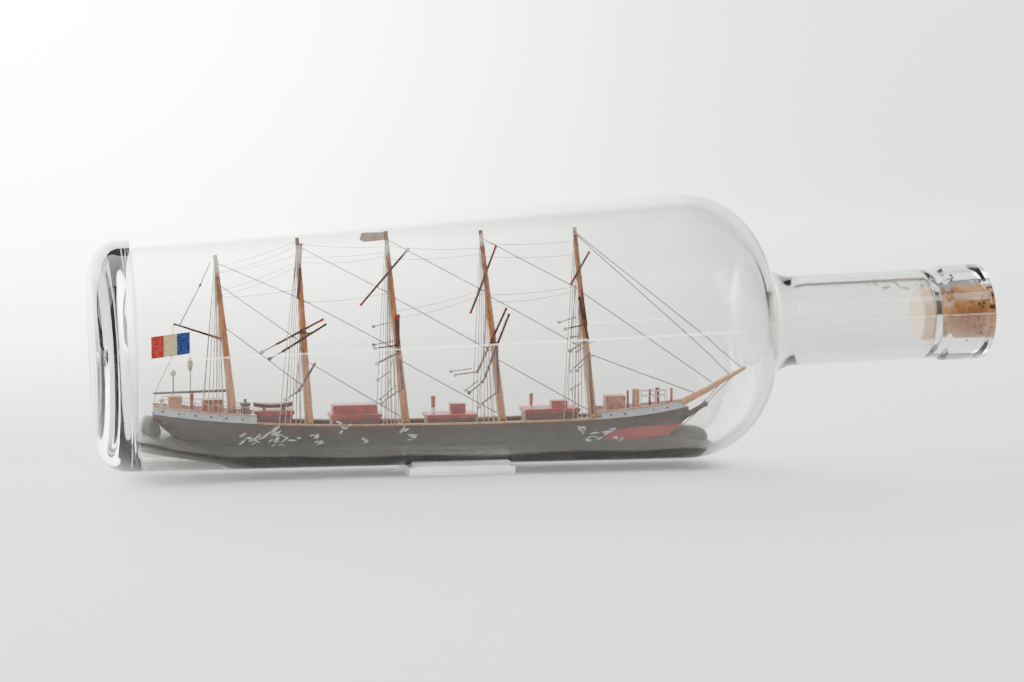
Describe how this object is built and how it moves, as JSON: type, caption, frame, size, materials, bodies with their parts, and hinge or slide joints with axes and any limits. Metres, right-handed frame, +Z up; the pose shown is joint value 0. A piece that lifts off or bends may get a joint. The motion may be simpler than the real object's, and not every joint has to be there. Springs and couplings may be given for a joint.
{
  "type": "ship in a bottle",
  "caption": "Clear bottle on its side on a saddle rest, stopped with a cork, holding a rigged sailing ship model set in a putty sea.",
  "frame": {"origin": "The centre of the underside of the box round the whole object, on the surface it rests on, under the middle of the bottle.", "axes": "+X along the bottle from its base to its mouth, level; +Z up; +Y away from the side the ship is looked at from."},
  "size_m": [0.3052, 0.089, 0.0906],
  "materials": {
    "clear_glass": "clear bottle glass, slightly grey-green at its edges",
    "clear_block": "clear cast acrylic block",
    "cork": "natural cork with dark pores",
    "putty_sea": "dark grey painted putty with white crests",
    "hull_paint": "dark brown painted wood, red below the waterline",
    "deck_wood": "stained wood deck",
    "light_wood": "pale varnished wood",
    "dark_wood": "dark stained wood",
    "spar_wood": "orange-brown varnished spar",
    "yard_wood": "brown varnished rod with red tips",
    "band_paint": "pale blue-white paint on thin wood",
    "house_paint": "brown-red painted wood",
    "roof_paint": "bright red painted wood",
    "boat_paint": "off-white painted wood",
    "flag_paper": "printed stiff paper",
    "dark_thread": "dark waxed sewing thread",
    "pale_thread": "pale tan sewing thread",
    "pin_wire": "fine brass wire"
  },
  "bodies": {
    "bottle_and_ship": {"aft_house": "house_paint", "binnacle": "roof_paint", "bobstays": "dark_thread", "boom": "spar_wood", "bottle": "clear_glass", "bottle_rest": "clear_block", "bowsprit": "spar_wood", "braces": "pale_thread", "cap_rails": "light_wood", "capstan": "dark_wood", "cask": "light_wood", "flag": "flag_paper", "flag_halyard": "dark_thread", "fore_bollards": "dark_wood", "fore_house": "house_paint", "forecastle_bulwark": "band_paint", "forecastle_deck": "deck_wood", "forecastle_railing": "boat_paint", "forestays": "dark_thread", "funnels": "roof_paint", "gaff": "spar_wood", "galley_house": "house_paint", "house_roofs": "roof_paint", "hull": "hull_paint", "lifeboat": "boat_paint", "main_deck": "deck_wood", "mast_1": "spar_wood", "mast_2": "spar_wood", "mast_3": "spar_wood", "mast_4": "spar_wood", "mast_5": "spar_wood", "mast_hinge_pins": "pin_wire", "mast_steps": "dark_wood", "masthead_pennant": "flag_paper", "midship_house": "house_paint", "poop_bulwark": "band_paint", "poop_cabin": "light_wood", "poop_deck": "deck_wood", "sea": "putty_sea", "shrouds": "pale_thread", "skylights": "roof_paint", "stem_knee": "dark_wood", "stern_lamps": "dark_wood", "stern_locker": "light_wood", "ventilator": "boat_paint", "windlass_house": "light_wood", "yard_ties": "dark_thread"},
    "cork": {"cork": "cork"},
    "course_yard_1": {"course_yard_1": "yard_wood"},
    "course_yard_2": {"course_yard_2": "yard_wood"},
    "course_yard_3": {"course_yard_3": "yard_wood"},
    "course_yard_4": {"course_yard_4": "yard_wood"},
    "royal_yard_1": {"royal_yard_1": "yard_wood"},
    "royal_yard_2": {"royal_yard_2": "yard_wood"},
    "royal_yard_3": {"royal_yard_3": "yard_wood"},
    "royal_yard_4": {"royal_yard_4": "yard_wood"},
    "topsail_yard_1": {"topsail_yard_1": "yard_wood"},
    "topsail_yard_2": {"topsail_yard_2": "yard_wood"},
    "topsail_yard_3": {"topsail_yard_3": "yard_wood"},
    "topsail_yard_4": {"topsail_yard_4": "yard_wood"}
  },
  "joints": [
    {"name": "cork_slide", "type": "slide", "parent": "bottle_and_ship", "child": "cork", "axis": [0.9994, 0, 0.0356], "range_m": [0, 0.04]},
    {"name": "course_yard_1_swing", "type": "hinge", "parent": "bottle_and_ship", "child": "course_yard_1", "pos_m": [0.01359, -0.00205, 0.0275], "axis": [0, 1, 0], "range_deg": [-3, 3]},
    {"name": "course_yard_2_swing", "type": "hinge", "parent": "bottle_and_ship", "child": "course_yard_2", "pos_m": [-0.01797, -0.00201, 0.0306], "axis": [0, 1, 0], "range_deg": [-3, 3]},
    {"name": "course_yard_3_swing", "type": "hinge", "parent": "bottle_and_ship", "child": "course_yard_3", "pos_m": [-0.05054, -0.002, 0.0318], "axis": [0, 1, 0], "range_deg": [-3, 3]},
    {"name": "course_yard_4_swing", "type": "hinge", "parent": "bottle_and_ship", "child": "course_yard_4", "pos_m": [-0.08184, -0.002, 0.0314], "axis": [0, 1, 0], "range_deg": [-3, 3]},
    {"name": "royal_yard_1_swing", "type": "hinge", "parent": "bottle_and_ship", "child": "royal_yard_1", "pos_m": [0.00975, -0.00161, 0.066], "axis": [0, 1, 0], "range_deg": [-3, 3]},
    {"name": "royal_yard_2_swing", "type": "hinge", "parent": "bottle_and_ship", "child": "royal_yard_2", "pos_m": [-0.02198, -0.00161, 0.0652], "axis": [0, 1, 0], "range_deg": [-3, 3]},
    {"name": "royal_yard_3_swing", "type": "hinge", "parent": "bottle_and_ship", "child": "royal_yard_3", "pos_m": [-0.05399, -0.0016, 0.0664], "axis": [0, 1, 0], "range_deg": [-3, 3]},
    {"name": "royal_yard_4_swing", "type": "hinge", "parent": "bottle_and_ship", "child": "royal_yard_4", "pos_m": [-0.08399, -0.00158, 0.0666], "axis": [0, 1, 0], "range_deg": [-3, 3]},
    {"name": "topsail_yard_1_swing", "type": "hinge", "parent": "bottle_and_ship", "child": "topsail_yard_1", "pos_m": [0.01159, -0.00182, 0.0476], "axis": [0, 1, 0], "range_deg": [-3, 3]},
    {"name": "topsail_yard_2_swing", "type": "hinge", "parent": "bottle_and_ship", "child": "topsail_yard_2", "pos_m": [-0.01951, -0.00186, 0.0439], "axis": [0, 1, 0], "range_deg": [-3, 3]},
    {"name": "topsail_yard_3_swing", "type": "hinge", "parent": "bottle_and_ship", "child": "topsail_yard_3", "pos_m": [-0.05199, -0.00183, 0.0464], "axis": [0, 1, 0], "range_deg": [-3, 3]},
    {"name": "topsail_yard_4_swing", "type": "hinge", "parent": "bottle_and_ship", "child": "topsail_yard_4", "pos_m": [-0.0828, -0.00181, 0.0471], "axis": [0, 1, 0], "range_deg": [-3, 3]}
  ]
}
